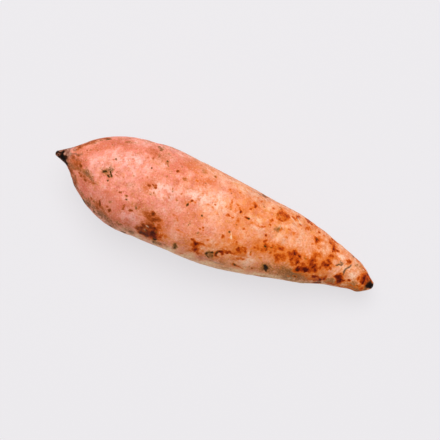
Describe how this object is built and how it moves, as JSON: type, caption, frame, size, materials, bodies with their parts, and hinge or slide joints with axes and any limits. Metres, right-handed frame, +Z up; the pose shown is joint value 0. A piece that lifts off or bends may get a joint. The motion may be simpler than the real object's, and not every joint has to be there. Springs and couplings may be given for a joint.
{
  "type": "sweet potato",
  "caption": "Long tapered root vegetable, plump at the crown and narrow at the tail, with a short broken vine stub; it lies on a flat spot.",
  "frame": {"origin": "on the resting surface, under the middle of the root's length and width", "axes": "+X along the root from the vine stub at the crown to the tail, +Z up from the resting surface"},
  "size_m": [0.2, 0.057, 0.052],
  "materials": {
    "skin": "satin"
  },
  "bodies": {
    "root": {"sweet_potato": "skin"}
  },
  "joints": []
}
